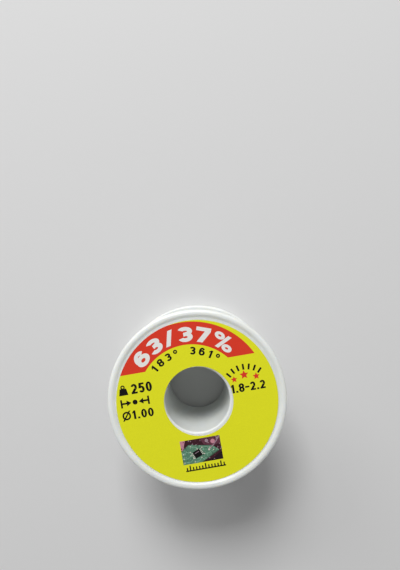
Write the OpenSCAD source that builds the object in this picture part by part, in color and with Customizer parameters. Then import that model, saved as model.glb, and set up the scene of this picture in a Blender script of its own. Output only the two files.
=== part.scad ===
// Solder wire spool: two moulded halves snapped together inside the barrel, a paper ring label
// on the front flange, and one length of solder wire wound between the flanges.
// The spool's axis is Z. It lies on the rear flange's rim at z = 0 and its front faces up.

/* [Spool] */
// Diameter of both flanges
flange_d = 58; // [52:0.5:70]
// Width over both rims
spool_w = 37; // [32:0.5:50]
// Diameter of the bore through the barrel
bore_d = 21; // [16:0.1:24]
// Wall of the barrel
barrel_wall = 2.4; // [2.2:0.1:3.5]

/* [Flanges] */
// Thickness of a flange at its edge
flange_t = 3; // [2.6:0.1:4]
// How much thicker a flange is at the barrel
web_draft = 0.35; // [0.05:0.05:0.8]
// Depth of the front recess, which holds the label
front_recess_depth = 0.5; // [0.4:0.05:1]
// Depth of the rear recess, which holds the folded ends of the wire
rear_recess_depth = 1.3; // [1.3:0.05:1.8]
// Width of the raised rim at its crest
rim_w = 1.5; // [1.3:0.05:2]
// Slope of the rim's inner flank, from the web
flank_angle = 30; // [25:1:32]
// Rounding of the rim's outer edge
rim_round = 0.9; // [0.3:0.05:0.9]
// Rounding from the rim's crest to its flank
crest_round = 0.8; // [0.2:0.05:0.8]
// Fillet from the web to the rim's flank
flank_fillet = 0.4; // [0.1:0.05:0.4]
// Rounding of the edge that faces the wire
edge_round = 0.6; // [0.2:0.05:0.8]
// Fillet where the web meets the barrel
root_fillet = 1.5; // [0.5:0.1:2]
// Rounding of the bore's mouth
mouth_round = 0.6; // [0.3:0.05:0.8]

/* [Barrel joint] */
// Length of the front half's spigot past the seam
spigot_len = 5; // [4:0.5:7]
// Wall of the spigot
spigot_wall = 1.15; // [0.9:0.05:1.3]
// Clearance between spigot and socket
joint_clearance = 0.05; // [0.02:0.01:0.1]
// Gap left at both seams
seam_gap = 0.1; // [0.05:0.05:0.3]
// Height of the snap bead round the spigot
snap_h = 0.2; // [0.1:0.05:0.3]
// Radius of the snap bead's section
snap_r = 0.6; // [0.4:0.05:0.8]
// Lead-in chamfer on the spigot's tip
lead_in = 0.4; // [0.2:0.05:0.6]

/* [Wire] */
// Diameter of the solder wire
wire_d = 1.0; // [0.8:0.1:1.2]
// Height of the flange's edge above the wound wire
winding_margin = 6.5; // [4:0.5:8]
// Gap between neighbouring turns of the top layer
turn_gap = 0.42; // [0.42:0.02:1]
// Radius of the wire's bends, at its centre line
bend_r = 1.0; // [0.8:0.1:1.4]
// Diameter of the hole for the wire's start
start_hole_d = 1.8; // [1.6:0.1:2.4]
// Diameter of the hole for the wire's finish
finish_hole_d = 2.0; // [1.8:0.1:2.6]
// Straight length of the wire's start, folded flat in the rear recess
start_len = 6; // [3:0.5:7]
// Straight length of the wire's finish, folded flat in the rear recess
finish_len = 9; // [4:0.5:11]

/* [Label] */
// Gap between the label's edge and the foot of the rim's flank, when centred
label_margin = 0.5; // [0.5:0.05:3]
// Gap between the label's hole and the bore, when centred
label_hole_margin = 0.7; // [0.7:0.05:3]
// Thickness of the paper and its adhesive
label_t = 0.15; // [0.1:0.01:0.3]
// How far the label is stuck below the spool's axis
label_low = 0.38; // [0:0.02:0.38]
// How far the hole is cut to the right of the label's own centre
hole_right = 0.46; // [0:0.02:0.5]
// How far the hole is cut below the label's own centre
hole_low = 0.04; // [0:0.02:0.06]

/* [Moulding marks] */
// Number of ejector pin marks on the rear flange
ejector_count = 6; // [3:1:12]
// Diameter of an ejector pin mark
ejector_d = 3; // [2:0.5:4]
// Depth of an ejector pin mark
ejector_depth = 0.15; // [0.05:0.05:0.3]

/* [Hidden] */
$fn = 96;

// What cutting tools reach past a face, and what fillets sink into their walls
over = 0.5;
// What a circle reaches past a side that isn't square to the other, to cross it cleanly
bite = 0.0005;

// Radii
flange_r = flange_d / 2;
bore_r = bore_d / 2;
barrel_r = bore_r + barrel_wall;
crest_r = flange_r - rim_w;
edge_r = flange_r - edge_round;
root_r = barrel_r + root_fillet;

// Heights: a flange's own are from its rim's plane, so they hold for both flanges
hub_t = flange_t + web_draft;
front_floor = spool_w - front_recess_depth;
mid_z = spool_w / 2;

// Barrel joint: the spigot slides into the socket and its bead snaps into a groove
spigot_r = bore_r + spigot_wall;
socket_r = spigot_r + joint_clearance;
seam_z = mid_z - seam_gap / 2;
socket_floor = mid_z - spigot_len - seam_gap;
snap_centre_r = spigot_r + snap_h - snap_r;

// Wire
wire_r = wire_d / 2;
wire_clearance = 0.05;
face_gap = 0.02;
rings_per_turn = 24;
tube_sides = 6;
bend_step = 22.5;
turn_r = flange_r - winding_margin - wire_r;
core_r = turn_r * cos(180 / rings_per_turn) - wire_r - face_gap;
pocket_clearance = 0.08;
pocket_r = wire_r + pocket_clearance;
pocket_wall = 0.4;
climb_z = spool_w - inner_face(core_r) - wire_clearance - pocket_wall - pocket_r;

// Ends of the wire, folded flat against the rear recess's floor
flat_z = rear_recess_depth - wire_clearance - wire_r;
drop_len = 0.25;
meet_z = flat_z + bend_r + drop_len;
last_turn_z = max(
    meet_z + face_gap + wire_d + bend_r,
    inner_face(turn_r) + wire_r + 2 * wire_clearance
);
finish_turn_in = 25;

// Holes in the rear web: one just outside the root fillet, one where the last turn drops
start_angle = 60;
start_hole_gap = 0.2;
start_hole_r = root_r + start_hole_gap + start_hole_d / 2;
start_hole_at = start_hole_r * outward(start_angle);
finish_angle = 205;
finish_hole_at = turn_r * outward(finish_angle) + bend_r * along(finish_angle);

// Turns of the top layer: as many as fit at the stated gap, and no more than a form may have
max_turns = 24;
turns = min(max_turns, floor((climb_z - last_turn_z) / (wire_d + turn_gap)));
pitch = (climb_z - last_turn_z) / turns;

// Label
label_r = flank_foot(front_recess_depth) - label_margin;
label_hole_r = bore_r + label_hole_margin;

// Ejector pin marks, on a circle midway across the recess and clear of the wire's ends
ejector_r = (root_r + flank_foot(rear_recess_depth)) / 2;
ejector_angle = 15;

plastic_white = [0.90, 0.91, 0.89];
paper_yellow = [0.83, 0.83, 0.12];
solder_grey = [0.68, 0.69, 0.70];
solder_dark = [0.50, 0.51, 0.52];

// Height of a flange's inner face at radius r: level at the edge and at the root, tapered between
function inner_face(r) =
    r >= edge_r ? flange_t :
    r <= root_r ? hub_t :
    hub_t + (flange_t - hub_t) * (r - root_r) / (edge_r - root_r);

// Radius at which the flank of the raised rim meets a recess of the given depth
function flank_foot(recess_depth) = crest_r - recess_depth / tan(flank_angle);

// Vectors round the axis at angle a
function outward(a) = [cos(a), sin(a), 0];
function along(a) = [-sin(a), cos(a), 0];
function up(z) = [0, 0, z];

// Region between a corner at [x, y] and the arc that touches both its sides, which are at the
// given angle. Added to a hollow corner it is a fillet, taken off an outer corner it is a round.
// With turn 0 one side lies along +X and the other is turned from it towards +Y.
module spandrel(x, y, turn, r, angle = 90) {
    touch = r / tan(angle / 2);
    translate([x, y])
        rotate(turn)
            difference() {
                polygon([
                    [touch, r],
                    [touch * cos(angle) - over * sin(angle), touch * sin(angle) + over * cos(angle)],
                    [-over / tan(angle / 2), -over],
                    [touch, -over]
                ]);
                translate([touch, r]) circle(angle == 90 ? r : r + bite);
            }
}

// Section of a flange, from the bore to the edge, with its rim's plane at height 0
module flange_section(recess_depth) {
    foot_r = flank_foot(recess_depth);
    difference() {
        union() {
            polygon([
                [bore_r, recess_depth],
                [foot_r, recess_depth],
                [crest_r, 0],
                [flange_r, 0],
                [flange_r, flange_t],
                [edge_r, flange_t],
                [root_r, hub_t],
                [bore_r, hub_t]
            ]);
            spandrel(foot_r, recess_depth, 180, flank_fillet, 180 - flank_angle);
            spandrel(barrel_r, hub_t, 0, root_fillet);
        }
        spandrel(crest_r, 0, 0, crest_round, 180 - flank_angle);
        spandrel(flange_r, 0, 90, rim_round);
        spandrel(flange_r, flange_t, 180, edge_round);
        spandrel(bore_r, recess_depth, 0, mouth_round);
    }
}

// Section of the snap bead at height z, grown by a clearance for its groove
module snap_section(z, grow)
    translate([snap_centre_r, z]) circle(snap_r + grow);

// Section of the rear half: its barrel ends in the socket, with a groove for the bead
module rear_section()
    difference() {
        union() {
            flange_section(rear_recess_depth);
            translate([bore_r, hub_t]) square([barrel_wall, seam_z - hub_t]);
        }
        translate([bore_r - over, socket_floor])
            square([socket_r - bore_r + over, seam_z - socket_floor + over]);
        snap_section(mid_z - spigot_len / 2, joint_clearance);
    }

// Section of the front half, seen from its own rim: its barrel ends in the spigot
module front_section() {
    tip = mid_z + spigot_len;
    flange_section(front_recess_depth);
    translate([bore_r, hub_t]) square([barrel_wall, seam_z - hub_t]);
    difference() {
        union() {
            translate([bore_r, hub_t]) square([spigot_wall, tip - hub_t]);
            intersection() {
                snap_section(mid_z + spigot_len / 2, 0);
                translate([bore_r, seam_z]) square([barrel_wall, spigot_len]);
            }
        }
        translate([spigot_r, tip]) rotate(45) square(lead_in * sqrt(2), center = true);
    }
}

// Rear moulding, with the two wire holes and the ejector pin marks
module rear_half()
    color(plastic_white)
        difference() {
            rotate_extrude() rear_section();
            translate(start_hole_at + up(rear_recess_depth - over))
                cylinder(d = start_hole_d, h = hub_t - rear_recess_depth + 2 * over);
            translate(finish_hole_at + up(rear_recess_depth - over))
                cylinder(d = finish_hole_d, h = hub_t - rear_recess_depth + 2 * over);
            for (i = [0 : ejector_count - 1])
                translate(ejector_r * outward(ejector_angle + i * 360 / ejector_count)
                        + up(rear_recess_depth - over))
                    cylinder(d = ejector_d, h = ejector_depth + over);
        }

// Front moulding, the rear one's mate, turned over
module front_half()
    color(plastic_white)
        translate([0, 0, spool_w])
            mirror([0, 0, 1])
                rotate_extrude() front_section();

// Paper ring stuck in the front recess a little low, with its hole cut a little off its centre
module front_label()
    color(paper_yellow)
        translate([0, -label_low, front_floor])
            difference() {
                cylinder(r = label_r, h = label_t);
                translate([hole_right, -hole_low, -over])
                    cylinder(r = label_hole_r, h = label_t + 2 * over);
            }

// Lower layers of wire as one ring that fills the groove up to the top layer,
// with the pocket where the wire climbs out of them
module solder_inner_layers() {
    lower = [
        [barrel_r + wire_clearance, hub_t + root_fillet],
        [root_r, hub_t + wire_clearance],
        [core_r, inner_face(core_r) + wire_clearance]
    ];
    upper = [for (i = [2 : -1 : 0]) [lower[i][0], spool_w - lower[i][1]]];
    pocket_floor = turn_r - bend_r - wire_d - face_gap;
    color(solder_dark)
        difference() {
            rotate_extrude() polygon(concat(lower, upper));
            translate(pocket_floor * outward(finish_angle) - bend_r * along(finish_angle)
                    + up(climb_z))
                rotate([0, 90, finish_angle])
                    cylinder(r = pocket_r, h = winding_margin);
        }
}

// Rings of the wound wire: each is [centre, direction, side], with side square to direction.
// It climbs straight out of the lower layers and bends into the first turn,
climb_rings = concat(
    [[(turn_r - bend_r - wire_d) * outward(finish_angle) - bend_r * along(finish_angle)
            + up(climb_z),
        outward(finish_angle), along(finish_angle)]],
    [for (a = [0 : bend_step : 90 - bend_step])
        let (
            to = cos(a) * outward(finish_angle) + sin(a) * along(finish_angle)
        )
        [(turn_r - bend_r + bend_r * sin(a)) * outward(finish_angle)
                - bend_r * cos(a) * along(finish_angle) + up(climb_z),
            to, cross([0, 0, 1], to)]]
);
// winds down to the rear flange,
slope = atan(pitch / (2 * PI * turn_r));
turn_rings = [
    for (i = [0 : turns * rings_per_turn])
        let (a = finish_angle + i * 360 / rings_per_turn)
        [turn_r * outward(a) + up(climb_z - pitch * i / rings_per_turn),
            cos(slope) * along(a) - up(sin(slope)), -outward(a)]
];
// and bends down into the finish hole, where it meets the folded end.
drop_rings = concat(
    [for (a = [bend_step : bend_step : 90])
        [finish_hole_at - bend_r * (1 - sin(a)) * along(finish_angle)
                + up(last_turn_z - bend_r * (1 - cos(a))),
            cos(a) * along(finish_angle) - up(sin(a)), -outward(finish_angle)]],
    [[finish_hole_at + up(meet_z + face_gap), [0, 0, -1], -outward(finish_angle)]]
);
wire_rings = concat(climb_rings, turn_rings, drop_rings);

// Least gap between stretches of the wound wire that lie at least half a turn apart
function least_gap(rings) =
    min([
        for (i = [0 : len(rings) - 1])
            for (j = [i + rings_per_turn / 2 : 1 : len(rings) - 1])
                norm(rings[i][0] - rings[j][0])
    ]) - wire_d;

// One closed tube of flat-sided wire through the given rings
module tube(rings) {
    n = len(rings);
    s = tube_sides;
    points = [
        for (ring = rings)
            let (side = ring[2], across = cross(ring[1], ring[2]))
            for (k = [0 : s - 1])
                ring[0] + wire_r * (cos(k * 360 / s) * side + sin(k * 360 / s) * across)
    ];
    walls = [
        for (i = [0 : n - 2])
            for (k = [0 : s - 1])
                let (a = i * s + k, b = i * s + (k + 1) % s)
                each [[a, b + s, b], [a, a + s, b + s]]
    ];
    first_cap = [for (k = [1 : s - 2]) [0, k, k + 1]];
    last_cap = [for (k = [1 : s - 2]) [(n - 1) * s, (n - 1) * s + k + 1, (n - 1) * s + k]];
    polyhedron(points, concat(first_cap, walls, last_cap));
}

// Top layer of wire, one unbroken tube from the climb to the finish hole
module solder_outer_turns() {
    echo(str("turns ", turns, ", least gap between them ", least_gap(wire_rings), " mm"));
    color(solder_grey) tube(wire_rings);
}

// An end of the wire: down through the web, round a bend and flat along the recess's floor
module wire_end(top_z, flat_len) {
    bend_top = flat_z + bend_r;
    translate([0, 0, bend_top]) cylinder(d = wire_d, h = top_z - bend_top);
    translate([bend_r, 0, bend_top])
        rotate([90, 0, 0])
            rotate([0, 0, 180])
                rotate_extrude(angle = 90)
                    translate([bend_r, 0]) circle(d = wire_d);
    translate([bend_r, 0, flat_z]) rotate([0, 90, 0]) cylinder(d = wire_d, h = flat_len);
}

// Start of the wire, from under the first layer out through its hole beside the barrel
module solder_start_end()
    color(solder_grey)
        translate(start_hole_at)
            rotate(start_angle + 90)
                wire_end(inner_face(start_hole_r + wire_r), start_len);

// Finish of the wire, met inside its hole and folded in towards the barrel
module solder_finish_end()
    color(solder_grey)
        translate(finish_hole_at)
            rotate(finish_angle + 90 + finish_turn_in)
                wire_end(meet_z, finish_len);

front_half();
rear_half();
front_label();
solder_inner_layers();
solder_outer_turns();
solder_start_end();
solder_finish_end();
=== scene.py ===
"""Looks of the solder wire spool: two moulded halves, a printed label and one wound wire."""

import math

import bpy
import numpy as np
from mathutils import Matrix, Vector
from mathutils.geometry import delaunay_2d_cdt


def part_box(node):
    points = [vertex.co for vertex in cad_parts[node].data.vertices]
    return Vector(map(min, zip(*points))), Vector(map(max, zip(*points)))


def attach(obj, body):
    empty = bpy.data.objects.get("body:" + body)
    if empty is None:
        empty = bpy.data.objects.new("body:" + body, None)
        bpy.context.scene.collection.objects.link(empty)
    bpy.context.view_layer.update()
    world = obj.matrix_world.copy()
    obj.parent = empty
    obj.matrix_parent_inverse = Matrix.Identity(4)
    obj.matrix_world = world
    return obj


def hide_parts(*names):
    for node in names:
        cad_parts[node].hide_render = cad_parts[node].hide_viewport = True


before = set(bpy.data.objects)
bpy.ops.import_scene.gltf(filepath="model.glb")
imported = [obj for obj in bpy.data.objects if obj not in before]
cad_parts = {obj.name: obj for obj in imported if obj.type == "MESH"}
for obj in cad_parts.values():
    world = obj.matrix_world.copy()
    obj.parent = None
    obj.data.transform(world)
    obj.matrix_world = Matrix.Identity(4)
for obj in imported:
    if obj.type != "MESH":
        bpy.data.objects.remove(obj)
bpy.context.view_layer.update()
MM = 0.001


# ---------------------------------------------------------------------------------------------
# The two halves of the spool: white polystyrene, injection moulded, snapped together inside the
# barrel. Their shapes are the solids' own. The plastic has a fine orange peel, cloudy gloss and
# light scuffs round the raised rims, where spools rub on shelves and on each other.
# ---------------------------------------------------------------------------------------------
PLASTIC_WHITE = (0.845, 0.870, 0.850)
PLASTIC_SHADE = (0.795, 0.815, 0.785)
SCUFF_GREY = (0.60, 0.60, 0.57)
SCUFF_COVER = 0.45
SCUFF_DULLER = 0.25
SCUFF_DEPTH = 0.01 * MM
STREAKS_PER_RADIAN = 5.0
STREAKS_PER_M = 2600.0
STREAK_RANGE = (0.60, 0.72)
PATCHES_PER_M = 160.0
PATCH_RANGE = (0.48, 0.66)
PEEL_PER_M = 1100
PEEL_DEPTH = 0.02 * MM
CLOUDS_PER_M = 90
CLOUD_RANGE = (0.35, 0.7)
CLOUD_GLOSS = (-0.04, 0.05)
GRAIN_PER_M = 9000
GRAIN_GLOSS = (0.30, 0.40)
# Most of a noise's values lie between these two.
MIDDLE_OF_NOISE = (0.3, 0.7)
POLYSTYRENE_IOR = 1.55
POLYSTYRENE_DEPTH = 1.5 * MM

spool_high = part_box("front_half")[1]
FLANGE_R = spool_high.x
SPOOL_W = spool_high.z
RIM_W = 1.5 * MM


def add_node(tree, kind, inputs=None, **settings):
    """A shader node with its settings, each input given a value or linked to an output."""
    made = tree.nodes.new("ShaderNode" + kind)
    for name, value in settings.items():
        setattr(made, name, value)
    for socket, value in (inputs or {}).items():
        if isinstance(value, bpy.types.NodeSocket):
            tree.links.new(value, made.inputs[socket])
        else:
            made.inputs[socket].default_value = value
    return made


def noise(tree, place, scale, detail=2.0, roughness=0.5):
    """Noise from 0 to 1 at a scale in bumps per unit of the given place."""
    settings = {"Scale": scale, "Detail": detail, "Roughness": roughness}
    return add_node(tree, "TexNoise", {"Vector": place, **settings}).outputs[0]


def spread(tree, value, low, high, to_low=0.0, to_high=1.0):
    """The value carried from the range low to high onto to_low to to_high, and kept inside."""
    ranges = {"From Min": low, "From Max": high, "To Min": to_low, "To Max": to_high}
    return add_node(tree, "MapRange", {"Value": value, **ranges}).outputs[0]


def arithmetic(tree, operation, first, second=0.0):
    """One arithmetic step on two numbers."""
    return add_node(tree, "Math", {0: first, 1: second}, operation=operation).outputs[0]


def blended(tree, share, first, second):
    """The first colour where share is 0, the second where it is 1."""
    mix = tree.nodes.new("ShaderNodeMix")
    mix.data_type = "RGBA"
    for index, value in ((0, share), (6, first), (7, second)):
        if isinstance(value, bpy.types.NodeSocket):
            tree.links.new(value, mix.inputs[index])
        else:
            mix.inputs[index].default_value = value if index == 0 else (*value, 1)
    return mix.outputs[2]


def start_material(name):
    """An empty node material, and the place of each point on its object."""
    material = bpy.data.materials.new(name)
    material.use_nodes = True
    material.node_tree.nodes.clear()
    place = add_node(material.node_tree, "TexCoord").outputs["Object"]
    return material, material.node_tree, place


def bumped(tree, height, depth, strength, under=None):
    """The normal over bumps with that pattern and depth, on the normal of the bumps under them."""
    inputs = {"Height": height, "Distance": depth, "Strength": strength}
    if under is not None:
        inputs["Normal"] = under
    return add_node(tree, "Bump", inputs).outputs[0]


def finish_material(tree, inputs):
    """The Principled shader with those inputs, as the material's surface."""
    shader = add_node(tree, "BsdfPrincipled", inputs)
    add_node(tree, "OutputMaterial", {"Surface": shader.outputs[0]})


def moulded_plastic():
    """White polystyrene. Scuffs are noise drawn out round the axis, kept to the rims' crests:
    the noise is read at the point's angle, radius and height, each times its own scale."""
    material, tree, place = start_material("white_polystyrene")
    parts = add_node(tree, "SeparateXYZ", {0: place}).outputs
    angle = arithmetic(tree, "ARCTAN2", parts[1], parts[0])
    across = arithmetic(tree, "MULTIPLY", parts[0], parts[0])
    along = arithmetic(tree, "MULTIPLY", parts[1], parts[1])
    radius = arithmetic(tree, "SQRT", arithmetic(tree, "ADD", across, along))

    ring_place = add_node(
        tree,
        "CombineXYZ",
        {
            0: arithmetic(tree, "MULTIPLY", angle, STREAKS_PER_RADIAN),
            1: arithmetic(tree, "MULTIPLY", radius, STREAKS_PER_M),
            2: arithmetic(tree, "MULTIPLY", parts[2], STREAKS_PER_M),
        },
    ).outputs[0]
    streaks = noise(tree, ring_place, 1.0, detail=3.0, roughness=0.6)
    streaks = spread(tree, streaks, *STREAK_RANGE)
    patches = spread(tree, noise(tree, place, PATCHES_PER_M, detail=3.0), *PATCH_RANGE)
    on_rim = spread(tree, radius, FLANGE_R - RIM_W, FLANGE_R - 0.4 * RIM_W)
    scuffs = arithmetic(tree, "MULTIPLY", arithmetic(tree, "MULTIPLY", streaks, patches), on_rim)

    clouds = noise(tree, place, CLOUDS_PER_M, detail=3.0)
    colour = blended(tree, spread(tree, clouds, *CLOUD_RANGE), PLASTIC_WHITE, PLASTIC_SHADE)
    colour = blended(tree, arithmetic(tree, "MULTIPLY", scuffs, SCUFF_COVER), colour, SCUFF_GREY)
    grain = noise(tree, place, GRAIN_PER_M)
    gloss = spread(tree, grain, *MIDDLE_OF_NOISE, *GRAIN_GLOSS)
    gloss = arithmetic(tree, "ADD", gloss, arithmetic(tree, "MULTIPLY", scuffs, SCUFF_DULLER))
    gloss = arithmetic(tree, "ADD", gloss, spread(tree, clouds, *MIDDLE_OF_NOISE, *CLOUD_GLOSS))

    peel = bumped(tree, noise(tree, place, PEEL_PER_M), PEEL_DEPTH, strength=0.6)
    scratched = bumped(tree, scuffs, SCUFF_DEPTH, strength=0.5, under=peel)
    finish_material(
        tree,
        {
            "Base Color": colour,
            "Roughness": gloss,
            "Normal": scratched,
            "IOR": POLYSTYRENE_IOR,
            "Subsurface Weight": 0.9,
            "Subsurface Radius": (1.0, 0.95, 0.85),
            "Subsurface Scale": POLYSTYRENE_DEPTH,
        },
    )
    return material


plastic = moulded_plastic()
for name in ("front_half", "rear_half"):
    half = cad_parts[name]
    half.data.materials.clear()
    half.data.materials.append(plastic)


# ---------------------------------------------------------------------------------------------
# The ring label: coated yellow paper stuck in the front recess, a little low of centre. It is
# one sheet, its face divided into inks by the print's outlines and its cut edge white. The print
# is generic: numbers, a weight, a gauge mark, stars, a ruler and a small picture of a chip.
# ---------------------------------------------------------------------------------------------
INKS = {
    "yellow": (0.82, 0.82, 0.021),
    "red": (0.75, 0.049, 0.025),
    "white": (0.88, 0.87, 0.84),
    "black": (0.005, 0.004, 0.004),
    "night": (0.017, 0.008, 0.010),
    "maroon": (0.047, 0.014, 0.021),
    "plum": (0.13, 0.040, 0.064),
    "haze": (0.37, 0.25, 0.30),
    "rose": (0.58, 0.25, 0.32),
    "pine": (0.043, 0.093, 0.056),
    "board": (0.105, 0.235, 0.154),
    "trace": (0.21, 0.41, 0.284),
    "pad": (0.64, 0.60, 0.52),
    "paper": (0.86, 0.86, 0.84),
}
INK_NAMES = list(INKS)
PRINT_SHIFT = np.array([-1.583, 0.796])
PRINT_TURN = 9.8
STAR_HOLLOW = 0.47

label_low, label_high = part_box("front_label")
LABEL_CENTRE = np.array([label_low.x + label_high.x, label_low.y + label_high.y]) / 2 / MM
LABEL_R = (label_high.x - label_low.x) / 2 / MM


def node_points(name):
    """The CAD node's vertices as an array, in metres."""
    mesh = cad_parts[name].data
    points = np.zeros(len(mesh.vertices) * 3)
    mesh.vertices.foreach_get("co", points)
    return points.reshape(-1, 3)


# The label's hole: the points of the solid's edge that lie within half its radius.
plan = node_points("front_label")[:, :2] / MM - LABEL_CENTRE
hole_edge = plan[np.hypot(plan[:, 0], plan[:, 1]) < LABEL_R / 2]
LABEL_HOLE_R = np.ptp(hole_edge[:, 0]) / 2
LABEL_HOLE = (hole_edge.min(0) + hole_edge.max(0)) / 2


def arc(radius, start, end, count, centre=(0.0, 0.0)):
    """Points on a circle from angle start to angle end, in degrees."""
    angles = np.radians(np.linspace(start, end, count))
    return np.array(centre) + radius * np.stack([np.cos(angles), np.sin(angles)], 1)


def disc(radius, centre=(0.0, 0.0), count=48):
    """A circle's outline, open at its last point."""
    return arc(radius, 0, 360 - 360 / count, count, centre)


def bar(length, height, centre=(0.0, 0.0), turn=0.0):
    """A rectangle's corners, turned about its centre by an angle in degrees."""
    corners = np.array([[-1, -1], [1, -1], [1, 1], [-1, 1]]) * [length / 2, height / 2]
    return turned(corners, turn) + centre


def turned(points, turn):
    """Points turned about the origin by an angle in degrees."""
    c, s = math.cos(math.radians(turn)), math.sin(math.radians(turn))
    return points @ np.array([[c, s], [-s, c]])


def star(radius, centre):
    """A five-pointed star: points at the radius and hollows at a share of it, alternately."""
    angles = np.radians(90 + 36 * np.arange(10))
    reach = np.where(np.arange(10) % 2, STAR_HOLLOW, 1.0) * radius
    return np.array(centre) + np.stack([reach * np.cos(angles), reach * np.sin(angles)], 1)


def bow(centre, reach, pen, start, end):
    """A band along an ellipse between two angles in degrees, as wide as the pen is in x and y."""
    angles = np.radians(np.linspace(start, end, max(3, int((end - start) / 10))))
    ring = np.stack([np.cos(angles), np.sin(angles)], 1)
    outer = ring * (np.array(reach) + np.array(pen) / 2)
    inner = ring * (np.array(reach) - np.array(pen) / 2)
    return np.array(centre) + np.concatenate([outer, inner[::-1]])


def box(left, right, foot, head):
    """A rectangle from its four sides."""
    return np.array([[left, foot], [right, foot], [right, head], [left, head]])


def leaning(x_foot, x_head, foot, head, pen):
    """A slanted stroke with level ends. Its level width is the pen over the slant's cosine."""
    half = pen / 2 * math.hypot(x_head - x_foot, head - foot) / (head - foot)
    left, right = (x_foot - half, x_head - half), (x_foot + half, x_head + half)
    return np.array([[left[0], foot], [right[0], foot], [right[1], head], [left[1], head]])


def numeral(sign, wide, pen):
    """A plain sans numeral, 1 high, as overlapping strokes: bowls are elliptical bands, stems
    are boxes, and slants are leaning strokes. The pen is a little finer for 6 and 8, so
    their counters stay open. Gives the outlines and the numeral's width."""
    px, py = (0.9 * width for width in pen) if sign in ("6", "8") else pen
    shares = {"1": 0.72, ".": 0.5, "-": 0.8, "/": 0.82, "%": 1.5, "deg": 0.62, "dia": 1.5, " ": 0.9}
    slot = shares.get(sign, 1.0) * wide
    mid, rx, ry = slot / 2, (slot - px) / 2, (1 - py) / 2
    low, up = 0.53 * ry, 0.47 * ry
    foot, head = (mid, py / 2 + low), (mid, 1 - py / 2 - up)

    def bowl(centre, half, *turns):
        return [bow(centre, (rx, half), pen, a, b) for a, b in zip(turns[:-1], turns[1:])]

    shapes = []
    if sign == "0":
        shapes = bowl((mid, 0.5), ry, 0, 180, 360)
    elif sign == "1":
        stem = slot * 0.66
        left, right = stem - px / 2, stem + px / 2
        flag = [[0.05, 0.80], [0.05, 0.62], [left, 0.76], [right, 1], [stem - px * 0.3, 1]]
        shapes = [box(left, right, 0, 1), np.array(flag)]
    elif sign == "2":
        top = 0.57 * ry
        centre = (mid, 1 - py / 2 - top)
        turn = math.radians(-32)
        x, y = mid + rx * math.cos(turn), centre[1] + top * math.sin(turn)
        shapes = bowl(centre, top, -32, 165)
        shapes += [leaning(px * 0.72, x, py * 0.8, y, px), box(0, slot, 0, py)]
    elif sign == "3":
        shapes = bowl(head, up, -90, 155) + bowl(foot, low, -155, 90)
        shapes.append(box(0.38 * slot, mid, 0.5 - py / 2, 0.5 + py / 2))
    elif sign == "5":
        bottom = 0.62 * ry
        shapes = bowl((mid, py / 2 + bottom), bottom, -152, 128)
        shapes.append(box(0.12 * slot, slot * 0.95, 1 - py, 1))
        shapes.append(leaning(px * 0.55, px * 0.5 + 0.12 * slot, 0.46, 1, px))
    elif sign == "6":
        bottom = 0.61 * ry
        shapes = bowl((mid, py / 2 + bottom), bottom, 0, 180, 360) + bowl((mid, 0.5), ry, 35, 180)
        shapes.append(box(0, px, py / 2 + bottom, 0.5))
    elif sign == "7":
        shapes = [box(0, slot, 1 - py, 1), leaning(0.36 * slot, slot - 0.6 * px, 0, 1 - py, px)]
    elif sign == "8":
        shapes = bowl(foot, low, 0, 180, 360) + bowl(head, up, 0, 180, 360)
    elif sign == "/":
        shapes = [leaning(px * 0.55, slot - px * 0.55, 0, 1, px * 0.85)]
    elif sign == ".":
        shapes = [box(mid - px / 2, mid + px / 2, 0, py * 1.1)]
    elif sign == "-":
        shapes = [box(0, slot, 0.5 - py / 2, 0.5 + py / 2)]
    elif sign == "%":
        thin = (px * 0.72, py * 0.72)
        small = (0.2 * slot - thin[0] / 4, 0.2 - thin[1] / 4)
        shapes = [leaning(0.34 * slot, 0.66 * slot, 0, 1, px * 0.7)]
        for x, y in ((0.23 * slot, 0.77), (0.77 * slot, 0.23)):
            shapes += [bow((x, y), small, thin, a, a + 180) for a in (0, 180)]
    elif sign == "deg":
        shapes = [bow((mid, 0.75), (0.18, 0.18), (0.18, 0.18), a, a + 180) for a in (0, 180)]
    elif sign == "dia":
        shapes = [bow((mid, 0.5), (0.40, 0.40), (py, py), a, a + 180) for a in (0, 180)]
        shapes.append(leaning(mid - 0.42, mid + 0.42, -0.08, 1.08, py * 0.85))
    return shapes, slot


def set_numerals(signs, wide, pen, gap):
    """Each numeral's outlines about its own middle, and the middle's place along the line. The
    line is centred on 0 and its numerals are 1 high."""
    drawn = [numeral(sign, wide, pen) for sign in signs]
    x = -(sum(width for _, width in drawn) + gap * (len(drawn) - 1)) / 2
    placed = []
    for outlines, width in drawn:
        placed.append(([outline - [width / 2, 0.5] for outline in outlines], x + width / 2))
        x += width + gap
    return placed


def level_number(signs, ink, height, centre, wide, pen, gap):
    """Numerals side by side on a level line, centred on a place, in millimetres."""
    shapes = []
    for outlines, x in set_numerals(signs, wide, pen, gap):
        shapes += [(ink, (outline + [x, 0]) * height + centre) for outline in outlines]
    return shapes


def arc_number(signs, ink, height, radius, middle, wide, pen, gap):
    """Numerals round an arc, upright to their radii, with the line's middle at an angle in
    degrees."""
    shapes = []
    for outlines, x in set_numerals(signs, wide, pen, gap):
        angle = middle - math.degrees(x * height / radius)
        at = arc(radius, angle, angle, 1)[0]
        shapes += [(ink, turned(outline * height, angle - 90) + at) for outline in outlines]
    return shapes


# Pens: the widths of a stroke's upright and level parts, as shares of the numerals' height.
BOLD = (0.25, 0.19)
HEAVY = (0.335, 0.25)
LIGHT = (0.27, 0.215)
BANNER_OUTER, BANNER_INNER, BANNER_LEVEL = 24.8, 17.45, 11.03
GAUGE_PEN = 0.58


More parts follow.
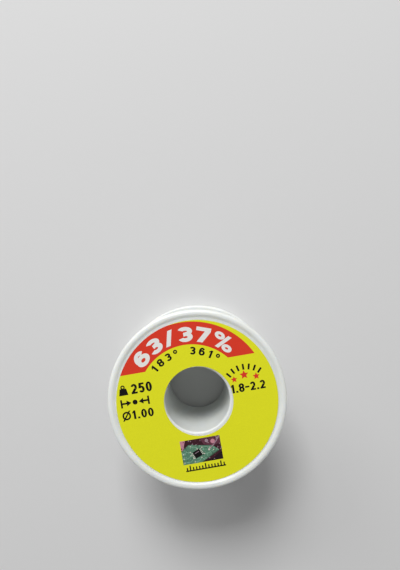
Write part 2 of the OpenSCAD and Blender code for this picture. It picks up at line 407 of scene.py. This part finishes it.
def banner():
    """The red arc, cut off level at both ends, with the alloy's two shares in white."""
    ends = [math.degrees(math.asin(BANNER_LEVEL / r)) for r in (BANNER_OUTER, BANNER_INNER)]
    outer = arc(BANNER_OUTER, ends[0], 180 - ends[0], 90)
    inner = arc(BANNER_INNER, 180 - ends[1], ends[1], 60)
    shares = arc_number(
        "63/37%", "white", height=4.85, radius=20.75, middle=90.3, wide=0.99, pen=HEAVY, gap=0.20
    )
    return [("red", np.concatenate([outer, inner]))] + shares


def melting_point():
    """The melting point in both scales, on an arc under the banner."""
    signs = ["1", "8", "3", "deg", " ", "3", "6", "1", "deg"]
    return arc_number(
        signs, "black", height=2.5, radius=15.4, middle=91.0, wide=0.76, pen=LIGHT, gap=0.46
    )


def left_marks():
    """A scale weight with the net weight, a gauge mark, and the wire's diameter."""
    weight = np.array([-21.6, 6.25])
    body = np.array([[-1.5, -1.6], [1.5, -1.6], [1.05, 0.55], [-1.05, 0.55]])
    shapes = [("black", weight + body)]
    eye = weight + [0, 1.0]
    shapes += [("black", bow(eye, (0.5, 0.5), (0.4, 0.4), a, a + 180)) for a in (0, 180)]
    shapes += level_number(
        "250", "black", height=3.2, centre=(-15.6, 6.25), wide=0.62, pen=BOLD, gap=0.13
    )
    middle = np.array([-18.4, 2.0])
    shapes.append(("black", disc(0.8, middle, 32)))
    for side in (-1, 1):
        tip = middle + [side * 1.2, 0]
        shapes.append(("black", tip + np.array([[0, 0], [1.5, -0.95], [1.5, 0.95]]) * [side, 1]))
        shapes.append(("black", bar(2.0, GAUGE_PEN, tip + [side * 2.1, 0])))
        shapes.append(("black", bar(GAUGE_PEN, 2.7, tip + [side * 3.2, 0])))
    signs = ["dia", "1", ".", "0", "0"]
    return shapes + level_number(
        signs, "black", height=2.8, centre=(-18.1, -2.0), wide=0.66, pen=BOLD, gap=0.13
    )


def right_marks():
    """Seven ticks on an arc over three stars, and the flux share's range."""
    fan, reach = (17.8, -0.2), 7.5
    shapes = []
    for angle in np.linspace(132, 48, 7):
        at = arc(reach, angle, angle, 1, fan)[0]
        shapes.append(("black", bar(1.9, 0.62, at, angle)))
    for radius, at in ((1.1, (14.3, 3.7)), (1.5, (17.7, 4.7)), (1.2, (21.5, 3.66))):
        shapes.append(("red", star(radius, at)))
    return shapes + level_number(
        "1.8-2.2", "black", height=2.75, centre=(18.3, 0.73), wide=0.62, pen=BOLD, gap=0.11
    )


PICTURE_CORNER = np.array([-6.45, -20.75])
PICTURE_SIZE = np.array([13.0, 7.7])
BOARD_EDGE = np.array([0.25, -0.22])
CHIP_TURN = 22
SPECK_LEAST, SPECK_MORE = 0.13, 0.17
INSIDE_BY = 0.05


def in_picture(points):
    """Points given as shares of the picture's width and height, in millimetres."""
    return PICTURE_CORNER + np.array(points, float) * PICTURE_SIZE


def within(points, outline):
    """Which points lie inside a convex outline: on the left of each of its sides, where the
    cross product of the side and the way to the point is above a small number."""
    ahead = np.roll(outline, -1, 0) - outline
    off = points[:, None, :] - outline[None, :, :]
    return (ahead[None, :, 0] * off[..., 1] - ahead[None, :, 1] * off[..., 0] > INSIDE_BY).all(1)


def stroke(ink, line, width):
    """Bars along a broken line given in the picture's shares."""
    line = in_picture(line)
    bars = []
    for a, b in zip(line[:-1], line[1:]):
        turn = math.degrees(math.atan2(*(b - a)[::-1]))
        bars.append((ink, bar(np.hypot(*(b - a)) + 0.5 * width, width, (a + b) / 2, turn)))
    return bars


def speckled(inks, outline, count, seed):
    """Small diamonds strewn inside a convex outline, in each ink in turn."""
    rng = np.random.default_rng(seed)
    places = outline.min(0) + rng.random((count, 2)) * np.ptp(outline, axis=0)
    reach = SPECK_LEAST + SPECK_MORE * rng.random((count, 2))
    spots = []
    for k in np.flatnonzero(within(places, outline)):
        diamond = np.array([[-1, 0], [0, -1], [1, 0], [0, 1]]) * reach[k]
        spots.append((inks[k % len(inks)], places[k] + diamond))
    return spots


def circuit_picture():
    """A small picture: a chip on a green board, under lamps out of focus, on a dark bench."""
    frame_outline = in_picture([[0, 0], [1, 0], [1, 1], [0, 1]])
    shapes = [("maroon", frame_outline)]
    shapes.append(("night", in_picture([[0.42, 0], [1, 0], [1, 0.34], [0.74, 0.10]])))
    shapes.append(("plum", in_picture([[0.50, 1], [0.58, 0.72], [0.80, 0.62], [1, 0.70], [1, 1]])))
    shapes.append(("rose", in_picture([[0, 1], [0, 0.62], [0.05, 0.60], [0.13, 1]])))
    shapes += speckled(("plum", "night", "haze"), frame_outline, count=90, seed=4)
    lamps = ((0.66, 0.86, 0.55, "haze"), (0.81, 0.80, 0.72, "rose"), (0.93, 0.90, 0.42, "haze"))
    for x, y, radius, ink in lamps:
        shapes.append((ink, disc(radius, in_picture([x, y]), 28)))
    board = in_picture([[0, 0], [0.46, 0], [0.93, 0.42], [0.80, 0.62], [0.20, 0.80], [0, 0.56]])
    # The board's thickness: its outline moved a little, but not where the picture cuts it off.
    shapes.append(("pine", board + BOARD_EDGE * (board > in_picture([0.01, 0.01]))))
    shapes.append(("board", board))
    shapes += speckled(("trace", "pine", "trace"), board, count=150, seed=7)
    tracks = (
        [[0.04, 0.08], [0.20, 0.08], [0.28, 0.22]],
        [[0.04, 0.24], [0.14, 0.24], [0.22, 0.34]],
        [[0.04, 0.44], [0.13, 0.52], [0.22, 0.48]],
        [[0.30, 0.06], [0.40, 0.06], [0.48, 0.20]],
        [[0.24, 0.72], [0.36, 0.66], [0.40, 0.58]],
        [[0.52, 0.62], [0.60, 0.62], [0.72, 0.56]],
        [[0.56, 0.34], [0.66, 0.34], [0.80, 0.44]],
    )
    for track in tracks:
        shapes += stroke("trace", track, 0.22)
        shapes += [("pad", disc(0.21, end, 16)) for end in in_picture([track[0], track[-1]])]
    chip = in_picture([0.39, 0.38])
    for side in (-1, 1):
        for k in range(4):
            pin = turned(np.array([[side * 1.45, (k - 1.5) * 0.55]]), CHIP_TURN)[0]
            shapes.append(("pad", bar(0.7, 0.26, chip + pin, CHIP_TURN)))
    shapes.append(("black", bar(2.5, 2.3, chip, CHIP_TURN)))
    shapes.append(("haze", bar(1.5, 0.16, chip + [-0.12, 0.45], CHIP_TURN)))
    loose_wire = [[0.99, 0.995], [0.90, 0.80], [0.80, 0.62], [0.70, 0.50]]
    shapes += stroke("haze", loose_wire, 0.26)
    shapes.append(("pad", disc(0.34, in_picture([0.69, 0.48]), 20)))
    return shapes


RULER_CORNER = PICTURE_CORNER + [0.5, -2.35]
RULER_PEN = 0.42
RULER_TICKS = 13
SHORT_TICK, LONG_TICK = 1.3, 1.9


def ruler():
    """A short ruler under the picture, with a tick at every millimetre, each fifth one longer."""
    left, foot = RULER_CORNER
    shapes = [("black", box(left, left + RULER_TICKS, foot, foot + RULER_PEN))]
    for k in range(RULER_TICKS):
        head = foot + (LONG_TICK if k % 5 == 1 else SHORT_TICK)
        x = left + 0.5 + k
        shapes.append(("black", box(x - RULER_PEN / 2, x + RULER_PEN / 2, foot, head)))
    return shapes


def label_print():
    """All printed shapes in the order of printing, in millimetres from the label's centre."""
    shapes = banner() + melting_point() + left_marks() + right_marks()
    shapes += circuit_picture() + ruler()
    return [(ink, turned(outline, PRINT_TURN) + PRINT_SHIFT) for ink, outline in shapes]


# How the sheet is cut: triangles are kept only inside the outlines, and points nearer to each
# other than this, in millimetres, are one. Then the number of points on the sheet's two edges.
CUT_INSIDE = 1
SAME_POINT = 1e-5
HOLE_POINTS, EDGE_POINTS = 180, 288


def anticlockwise(outline):
    """The outline with its inside on the left."""
    x, y = outline[:, 0], outline[:, 1]
    area = (x * np.roll(y, -1) - y * np.roll(x, -1)).sum()
    return outline if area > 0 else outline[::-1]


def printed_sheet(name, outline, hole, shapes, low, high):
    """A flat sheet as one closed mesh. Its face is cut into triangles along every printed
    outline, and a triangle takes the ink of the last shape printed over it. The hole's outline
    is the last one, and no triangle inside it is kept."""
    outlines = [anticlockwise(o) for o in [outline] + [s[1] for s in shapes] + [hole]]
    sheet_at, hole_at = 0, len(outlines) - 1
    starts = np.cumsum([0] + [len(o) for o in outlines])
    corners = [Vector(p) for p in np.concatenate(outlines)]
    loops = [list(range(a, b)) for a, b in zip(starts[:-1], starts[1:])]
    points, _, faces, _, _, sources = delaunay_2d_cdt(
        corners, [], loops, CUT_INSIDE, SAME_POINT, True
    )
    inks = [INK_NAMES.index("yellow")] + [INK_NAMES.index(ink) for ink, _ in shapes]
    keep = [i for i, s in enumerate(sources) if sheet_at in s and hole_at not in s]
    top_ink = [inks[max(sources[i])] for i in keep]
    top = np.array([faces[i] for i in keep])
    flat = np.array([tuple(p) for p in points])
    used, top = np.unique(top, return_inverse=True)
    top = top.reshape(-1, 3)
    flat = flat[used] + LABEL_CENTRE
    count = len(flat)
    edges = np.concatenate([top[:, [0, 1]], top[:, [1, 2]], top[:, [2, 0]]])
    codes = edges[:, 0] * count + edges[:, 1]
    border = edges[~np.isin(codes, edges[:, 1] * count + edges[:, 0])]
    sides = np.stack([border[:, 1], border[:, 0], border[:, 0] + count, border[:, 1] + count], 1)
    upper = np.column_stack([flat * MM, np.full(count, high)])
    lower = np.column_stack([flat * MM, np.full(count, low)])
    mesh = bpy.data.meshes.new(name)
    all_faces = top.tolist() + (top[:, ::-1] + count).tolist() + sides.tolist()
    mesh.from_pydata(np.concatenate([upper, lower]).tolist(), [], all_faces)
    paper = INK_NAMES.index("paper")
    slots = top_ink + [paper] * (len(all_faces) - len(top_ink))
    mesh.polygons.foreach_set("material_index", slots)
    return mesh


def add_piece(name, mesh, materials):
    """An object at the origin that shows the mesh in those materials."""
    piece = bpy.data.objects.new(name, mesh)
    bpy.context.scene.collection.objects.link(piece)
    for material in materials:
        mesh.materials.append(material)
    mesh.update()
    return piece


INK_GRAIN_PER_M = 5200.0
INK_DARKER, INK_LIGHTER = 0.94, 1.03
FIBRES_PER_M = 2600.0
FIBRE_DEPTH = 0.004 * MM
WAVES_PER_M = 150.0
WAVE_DEPTH = 0.12 * MM
COATING_PER_M = 700.0
COATING_GLOSS = (0.38, 0.50)


def printed_ink(name, colour):
    """Ink on coated paper: colour with a little grain, over a paper's faint unevenness."""
    material, tree, place = start_material("ink_" + name)
    grain = noise(tree, place, INK_GRAIN_PER_M, roughness=0.6)
    darker = tuple(INK_DARKER * c for c in colour)
    lighter = tuple(INK_LIGHTER * c for c in colour)
    tint = blended(tree, spread(tree, grain, *MIDDLE_OF_NOISE), darker, lighter)
    fibres = noise(tree, place, FIBRES_PER_M, detail=3.0)
    waves = noise(tree, place, WAVES_PER_M)
    felted = bumped(tree, fibres, FIBRE_DEPTH, strength=0.4)
    wavy = bumped(tree, waves, WAVE_DEPTH, strength=0.5, under=felted)
    coating = noise(tree, place, COATING_PER_M, detail=3.0)
    gloss = spread(tree, coating, *MIDDLE_OF_NOISE, *COATING_GLOSS)
    finish_material(
        tree, {"Base Color": tint, "Roughness": gloss, "Normal": wavy, "Specular IOR Level": 0.1}
    )
    return material


label_mesh = printed_sheet(
    "ring_label",
    disc(LABEL_R, count=EDGE_POINTS),
    disc(LABEL_HOLE_R, LABEL_HOLE, HOLE_POINTS),
    label_print(),
    label_low.z,
    label_high.z,
)
label = add_piece("ring_label", label_mesh, [printed_ink(*ink) for ink in INKS.items()])
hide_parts("front_label")
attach(label, "root")


# ---------------------------------------------------------------------------------------------
# The solder wire: tin-lead with a rosin core, drawn to 1 mm and wound in layers by machine. The
# top layer runs from the front flange to the rear one, lies in the hollows of the layer below,
# lifts where it crosses those turns, and goes out through the rear flange's outer hole.
# ---------------------------------------------------------------------------------------------
WIRE_R = 0.5 * MM
NEST_STEP = 0.88 * MM
CROSSING_LIFT = 0.10 * MM
BEND_R = 1.0 * MM
SOLDER_GREY = (0.63, 0.64, 0.65)
SOLDER_DULL = (0.42, 0.42, 0.42)
ROSIN_AMBER = (0.42, 0.19, 0.035)
CORE_SHARE = 0.36
PINCH_REACH = 0.45 * MM
PINCH_WIDER = 0.10
PINCH_FLATTER = 0.22
# The lines that drawing leaves: bumps per millimetre along the wire, and round it.
LINES_PER_MM = (0.12, 9.0, 1.0)
LINE_DEPTH = 0.006 * MM
LINE_GLOSS = (0.24, 0.38)
OXIDE_PER_M = 260.0
OXIDE_RANGE = (0.42, 0.75)
OXIDE_COVER = 0.55
DULL_RANGE = (0.45, 0.75)
OXIDE_DULLER = 0.14
DENTS_PER_M = 900.0
DENT_DEPTH = 0.02 * MM
BUBBLES_PER_M = 9000.0
BUBBLE_RANGE = (0.4, 0.6)
BUBBLE_DARKER = 0.7
ROSIN_GLOSS = (0.15, 0.3)

core_low, core_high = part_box("solder_inner_layers")
TURN_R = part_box("solder_outer_turns")[1].x - WIRE_R


def grid_faces(rows, columns):
    """Quads between the rows of a grid of points, closed round from its last column to its
    first."""
    row = np.arange(rows - 1)[:, None] * columns
    column = np.arange(columns)[None, :]
    after = (column + 1) % columns
    quads = [row + column, row + after, row + columns + after, row + columns + column]
    return np.stack([np.broadcast_to(q, quads[0].shape) for q in quads], -1).reshape(-1, 4)


def unit(vectors):
    """Vectors scaled to length 1."""
    return vectors / np.linalg.norm(vectors, axis=-1, keepdims=True)


def tube(path, hint, sides, wide, tall):
    """Rings of points round a path, a wire's radius away, times wide and tall at each point. A
    ring is square to the path's direction, and starts at the part of the hint vector that is
    square to it, so the wire doesn't twist."""
    ahead = unit(np.gradient(path, axis=0))
    side = unit(hint - (hint * ahead).sum(1, keepdims=True) * ahead)
    over = np.cross(ahead, side)
    angles = 2 * np.pi * np.arange(sides) / sides
    ring = np.cos(angles)[None, :, None] * side[:, None, :] * (WIRE_R * wide)[:, None, None]
    ring = ring + np.sin(angles)[None, :, None] * over[:, None, :] * (WIRE_R * tall)[:, None, None]
    return path[:, None, :] + ring


def wire_mesh(name, path, hint, sides, cut=False):
    """A wire as one closed tube. Where cut is true, its last end is pinched by the cutters, and
    one more ring on the end's face parts the solder from the rosin core inside it. Any other
    end is a plain face. Its UV map runs along the wire."""
    length = np.concatenate([[0], np.cumsum(np.linalg.norm(np.diff(path, axis=0), axis=1))])
    pinch = np.exp(-(((length[-1] - length) / PINCH_REACH) ** 2)) * cut
    rings = tube(path, hint, sides, 1 + PINCH_WIDER * pinch, 1 - PINCH_FLATTER * pinch)
    if cut:
        middle = rings[-1].mean(0)
        rings = np.concatenate([rings, [middle + (rings[-1] - middle) * CORE_SHARE]])
    corners = np.arange(len(rings) * sides)
    faces = grid_faces(len(rings), sides).tolist()
    faces += [corners[:sides][::-1].tolist(), corners[-sides:].tolist()]
    mesh = bpy.data.meshes.new(name)
    mesh.from_pydata(rings.reshape(-1, 3).tolist(), [], faces)
    mesh.polygons.foreach_set("material_index", [0] * (len(faces) - 1) + [int(cut)])
    mesh.polygons.foreach_set("use_smooth", [len(f) == 4 for f in faces])
    put_wire_uv(mesh, length, sides)
    return mesh


def put_wire_uv(mesh, length, sides):
    """UV in millimetres: u along the wire, v round it, on the wall's quads."""
    uv = np.zeros((len(mesh.loops), 2))
    row, column = np.indices((len(length) - 1, sides))
    step = 2 * math.pi * WIRE_R / sides / MM
    u = np.stack([length[row], length[row], length[row + 1], length[row + 1]], -1) / MM
    v = np.stack([column, column + 1, column + 1, column], -1) * step
    uv[: u.size] = np.stack([u.reshape(-1), v.reshape(-1)], 1)
    layer = mesh.uv_layers.new(name="along_wire")
    layer.data.foreach_set("uv", uv.reshape(-1))


def solder_metal():
    """Drawn solder: bright grey with dull oxide patches and fine lines along the wire."""
    material, tree, place = start_material("tin_lead_solder")
    uv = add_node(tree, "UVMap", uv_map="along_wire").outputs[0]
    drawn = add_node(tree, "VectorMath", {0: uv, 1: LINES_PER_MM}, operation="MULTIPLY")
    lines = noise(tree, drawn.outputs[0], 1.0, detail=3.0, roughness=0.6)
    oxide = noise(tree, place, OXIDE_PER_M, detail=4.0, roughness=0.6)
    oxidised = spread(tree, oxide, *OXIDE_RANGE, 0.0, OXIDE_COVER)
    colour = blended(tree, oxidised, SOLDER_GREY, SOLDER_DULL)
    gloss = spread(tree, lines, *MIDDLE_OF_NOISE, *LINE_GLOSS)
    gloss = arithmetic(tree, "ADD", gloss, spread(tree, oxide, *DULL_RANGE, 0.0, OXIDE_DULLER))
    scored = bumped(tree, lines, LINE_DEPTH, strength=0.6)
    dented = bumped(tree, noise(tree, place, DENTS_PER_M), DENT_DEPTH, strength=0.5, under=scored)
    finish_material(
        tree, {"Base Color": colour, "Metallic": 1.0, "Roughness": gloss, "Normal": dented}
    )
    return material


def rosin():
    """Rosin flux in the wire's core: clear amber, glossy, with small bubbles."""
    material, tree, place = start_material("rosin_core")
    bubbles = noise(tree, place, BUBBLES_PER_M)
    dark = tuple(BUBBLE_DARKER * c for c in ROSIN_AMBER)
    colour = blended(tree, spread(tree, bubbles, *BUBBLE_RANGE), ROSIN_AMBER, dark)
    gloss = spread(tree, bubbles, *MIDDLE_OF_NOISE, *ROSIN_GLOSS)
    finish_material(tree, {"Base Color": colour, "Roughness": gloss})
    return material


solder = solder_metal()
flux = rosin()


def outward(angle):
    """Unit vectors away from the axis at each angle, in radians."""
    return np.stack([np.cos(angle), np.sin(angle), np.zeros_like(angle)], -1)


TOP_WITHIN, TIP_WITHIN = 0.01 * MM, 0.2 * MM


def end_place(node):
    """Where an end of the wire goes through the web, and where its flat run ends, in plan: the
    middles of its highest points and of the points farthest from there."""
    points = node_points(node)
    hole = points[points[:, 2] > points[:, 2].max() - TOP_WITHIN][:, :2].mean(0)
    away = np.linalg.norm(points[:, :2] - hole, axis=1)
    tip = points[away > away.max() - TIP_WITHIN][:, :2].mean(0)
    return hole, tip


UP = np.array([0.0, 0.0, 1.0])
FLAT_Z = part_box("solder_finish_end")[0].z + WIRE_R
QUARTER = np.linspace(0, np.pi / 2, 9)[1:, None]


def folded_end(hole, tip, top, sway):
    """Centre line of an end: down through the web, a quarter circle, then flat to its tip with
    a slight sway to one side, as wire has that was straightened by hand."""
    flat = np.array([*(tip - hole), 0.0])
    reach = np.linalg.norm(flat)
    ahead = flat / reach
    aside = np.array([-ahead[1], ahead[0], 0.0])
    down = np.linspace(top, FLAT_Z + BEND_R, 6)[:, None] * UP + [*hole, 0]
    turn = BEND_R * ((1 - np.cos(QUARTER)) * ahead - np.sin(QUARTER) * UP)
    turn = turn + [*hole, FLAT_Z + BEND_R]
    t = np.linspace(0, 1, 26)[1:, None]
    run = turn[-1] + t * (reach - BEND_R) * ahead
    run = run + sway * np.sin(np.pi * t) * np.sin(1.5 * t) * aside
    return np.concatenate([down, turn, run])


# Lower layers: the next layer down as turns that climb the other way, over a plain ring.
LOWER_R = TURN_R - NEST_STEP
LOWER_PER_TURN = 96
LOWEST, HIGHEST = core_low.z + WIRE_R, core_high.z - WIRE_R
RING_INSET = 0.4 * MM
RING_UNDER = 0.35 * WIRE_R


def lower_layer():
    """A helix just under the top layer: its height rises evenly with its angle, from the rear
    flange to the front one."""
    turns = int((HIGHEST - LOWEST) / (2 * WIRE_R))
    angle = np.linspace(0, 2 * np.pi * turns, turns * LOWER_PER_TURN + 1)
    height = LOWEST + (HIGHEST - LOWEST) * angle / angle[-1]
    return LOWER_R * outward(angle) + height[:, None] * UP, outward(angle)


def plain_ring(inner, outer, low, high, count=128):
    """A ring round the axis: a rectangle's four corners carried round it."""
    section = np.array([[inner, low], [outer, low], [outer, high], [inner, high]])
    angle = np.linspace(0, 2 * np.pi, count, endpoint=False)
    points = outward(angle)[:, None, :] * section[None, :, :1] + section[None, :, 1:] * UP
    column = np.arange(count)[:, None] * 4
    after = (np.arange(count)[:, None] + 1) % count * 4
    side = np.arange(4)[None, :]
    above = (side + 1) % 4
    quads = np.stack([column + side, after + side, after + above, column + above], -1)
    return points.reshape(-1, 3), quads.reshape(-1, 4)


lower_path, lower_hint = lower_layer()
lower_mesh = wire_mesh("inner_layers", lower_path, lower_hint, sides=8)
inner_layers = add_piece("solder_lower_turns", lower_mesh, [solder])
ring_points, ring_quads = plain_ring(
    np.hypot(*node_points("solder_inner_layers")[:, :2].T).min(),
    LOWER_R - RING_UNDER,
    core_low.z + RING_INSET,
    core_high.z - RING_INSET,
)
ring_mesh = bpy.data.meshes.new("inner_core")
ring_mesh.from_pydata(ring_points.tolist(), [], ring_quads.tolist())
ring_mesh.uv_layers.new(name="along_wire")
inner_core = add_piece("solder_core_layers", ring_mesh, [solder])
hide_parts("solder_inner_layers")
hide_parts("solder_inner_layers")
for piece in (inner_layers, inner_core):
    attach(piece, "root")


# The gaps between turns: three sines, each with its rate and phase, and what divides their sum,
# then the wide gaps, each with its turn, its height over the sines and its width in turns.
WINDING_WAVES = ((0.31, 0.4), (0.73, 2.1), (1.27, 4.0))
WAVES_OVER = 6.5
WIDE_GAPS = ((4.3, 2.2, 0.16), (11.7, 3.4, 0.22), (19.4, 2.0, 0.15), (24.6, 2.8, 0.2))
LEAST_GAP = 0.03
PER_TURN = 150
CLIMB_TURN = math.radians(35)
CROSSING_START = 1.1
CROSSING_DRIFT = 0.02
CROSSING_SHARPNESS = 6
LAST_POINTS = 12


def uneven(angle):
    """Smooth unevenness along the winding, mostly between 0 and 1: three sines that never line
    up, and bell curves at a few places where the traverse hurried and left a gap."""
    waves = sum(np.sin(rate * angle + phase) for rate, phase in WINDING_WAVES)
    field = 0.5 + waves / WAVES_OVER
    for turn, height, width in WIDE_GAPS:
        field = field + height * np.exp(-(((angle / (2 * np.pi) - turn) / width) ** 2))
    return np.maximum(field, LEAST_GAP)


def top_layer(first_angle):
    """Centre line of the top layer. Each turn lies against the one before it, a wire's width
    plus a small uneven gap lower. It lifts over the layer below twice a turn, by a power of a
    raised cosine that drifts a little from turn to turn. It starts one layer down, and its last
    few points move out to the finish hole's radius."""
    turns = int((HIGHEST - LOWEST) / (2 * WIRE_R)) - 1
    angle = 2 * np.pi * np.arange(PER_TURN * turns + 1) / PER_TURN
    gaps = uneven(angle)
    fall = np.zeros(len(angle))
    fall[: PER_TURN + 1] = angle[: PER_TURN + 1] / (2 * np.pi)
    gap_fall = fall * gaps[0]
    for k in range(1, turns):
        now = slice(k * PER_TURN, (k + 1) * PER_TURN + 1)
        before = slice((k - 1) * PER_TURN, k * PER_TURN + 1)
        gap_fall[now] = gap_fall[before] + gaps[before]
        fall[now] = fall[before] + 1
    room = (HIGHEST - LOWEST) - fall[-1] * 2 * WIRE_R
    height = HIGHEST - fall * 2 * WIRE_R - gap_fall * room / gap_fall.max()
    crossing = 0.5 + 0.5 * np.cos(2 * (angle + CROSSING_DRIFT * angle - CROSSING_START))
    crossing = crossing**CROSSING_SHARPNESS
    climb = np.clip(angle / CLIMB_TURN, 0, 1)
    climb = climb * climb * (3 - 2 * climb)
    reach = TURN_R - CROSSING_LIFT + CROSSING_LIFT * crossing - NEST_STEP * (1 - climb)
    settled = reach[-LAST_POINTS - 1]
    reach[-LAST_POINTS:] = settled + (TURN_R - settled) * np.linspace(0, 1, LAST_POINTS)
    turn_angle = first_angle + angle
    points = reach[:, None] * outward(turn_angle) + height[:, None] * UP
    return points, outward(turn_angle)


# The two ends: the finish drops from the last turn, and the start comes from the barrel.
FINISH_SWAY, START_SWAY = 0.5 * MM, -0.35 * MM
STEP_DOWN = 0.1 * MM

finish_hole, finish_tip = end_place("solder_finish_end")
hole_angle = math.atan2(finish_hole[1], finish_hole[0])
drop_angle = hole_angle - math.asin(BEND_R / np.hypot(*finish_hole))
turns_path, turns_hint = top_layer(drop_angle)
forward = np.array([-math.sin(drop_angle), math.cos(drop_angle), 0.0])
drop = turns_path[-1] + BEND_R * (np.sin(QUARTER) * forward - (1 - np.cos(QUARTER)) * UP)
rest = folded_end(drop[-1][:2], finish_tip, drop[-1][2] - STEP_DOWN, FINISH_SWAY)
top_path = np.concatenate([turns_path, drop, rest])
drop_hint = np.repeat(outward(np.array([drop_angle])), len(drop) + len(rest), 0)
top_hint = np.concatenate([turns_hint, drop_hint])
top_mesh = wire_mesh("top_layer", top_path, top_hint, sides=12, cut=True)
top_turns = add_piece("solder_top_turns", top_mesh, [solder, flux])
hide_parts("solder_outer_turns", "solder_finish_end")
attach(top_turns, "root")

start_hole, start_tip = end_place("solder_start_end")
start_path = folded_end(start_hole, start_tip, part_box("solder_start_end")[1].z, START_SWAY)
run = start_tip - start_hole
start_hint = np.repeat(np.array([[-run[1], run[0], 0.0]]), len(start_path), 0)
start_mesh = wire_mesh("wire_start", start_path, start_hint, sides=16, cut=True)
wire_start = add_piece("solder_wire_start", start_mesh, [solder, flux])
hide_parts("solder_start_end")
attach(wire_start, "root")


# ---------------------------------------------------------------------------------------------
# The table the spool lies on: a pale matt floor, lit by the room and by two soft lamps from
# behind and one side. The camera looks straight down on it, with the spool in the lower half
# of its view.
# ---------------------------------------------------------------------------------------------
FLOOR_HALF = 2.0
FLOOR_DROP = 0.02 * MM
ROOM_LIGHT = 0.26
PALE = 0.74
LAMPS_AIM = Vector((0, 0, 0.03))
LAMP_SIZE = 0.50

world = bpy.data.worlds.new("soft_room")
bpy.context.scene.world = world
world.use_nodes = True
tree = world.node_tree
tree.nodes.clear()
ray = add_node(tree, "LightPath").outputs
seen = arithmetic(tree, "MAXIMUM", ray["Is Camera Ray"], ray["Is Glossy Ray"])
seen = arithmetic(tree, "MAXIMUM", seen, ray["Is Transmission Ray"])
strength = spread(tree, seen, 0.0, 1.0, ROOM_LIGHT, PALE)
sky = add_node(tree, "Background", {"Color": (1, 1, 1, 1), "Strength": strength})
add_node(tree, "OutputWorld", {"Surface": sky.outputs[0]})

floor_mesh = bpy.data.meshes.new("floor")
floor_corners = box(-FLOOR_HALF, FLOOR_HALF, -FLOOR_HALF, FLOOR_HALF).tolist()
floor_mesh.from_pydata([(x, y, -FLOOR_DROP) for x, y in floor_corners], [], [(0, 1, 2, 3)])
floor_material, tree, place = start_material("pale_floor")
floor_finish = {"Base Color": (PALE, PALE, PALE, 1), "Roughness": 0.8, "Specular IOR Level": 0.1}
finish_material(tree, floor_finish)
floor = add_piece("floor", floor_mesh, [floor_material])


def softbox(name, place, level):
    """A square area lamp facing the spool's front. Its power makes a white surface that faces
    it there render at the level: power is level times pi squared times distance squared."""
    lamp = bpy.data.lights.new(name, "AREA")
    lamp.shape = "SQUARE"
    lamp.size = LAMP_SIZE
    to_spool = LAMPS_AIM - Vector(place)
    lamp.energy = level * math.pi**2 * to_spool.length**2
    holder = bpy.data.objects.new(name, lamp)
    holder.location = place
    holder.rotation_euler = to_spool.to_track_quat("-Z", "Y").to_euler()
    bpy.context.scene.collection.objects.link(holder)


softbox("key", place=(-0.18, 0.94, 0.89), level=0.74)
softbox("side", place=(-0.74, 0.86, 0.58), level=0.18)

# The camera: its image's size, its focal length, and the front rim's middle and radius in the
# image, all in pixels. They give its height over the rim and its place in plan.
IMAGE_W, IMAGE_H = 400, 570
FOCAL_PX = 524.0
RIM_AT_PX = (197.3, 400.0)
RIM_R_PX = 90.2

lens = bpy.data.cameras.new("camera")
lens.sensor_fit = "VERTICAL"
lens.sensor_height = 36.0
lens.lens = lens.sensor_height * FOCAL_PX / IMAGE_H
camera = bpy.data.objects.new("camera", lens)
bpy.context.scene.collection.objects.link(camera)
above_rim = FOCAL_PX * FLANGE_R / RIM_R_PX
right = (RIM_AT_PX[0] - IMAGE_W / 2) / FOCAL_PX * above_rim
below = (RIM_AT_PX[1] - IMAGE_H / 2) / FOCAL_PX * above_rim
camera.location = (-right, below, SPOOL_W + above_rim)
bpy.context.scene.camera = camera
bpy.context.scene.view_settings.view_transform = "Standard"
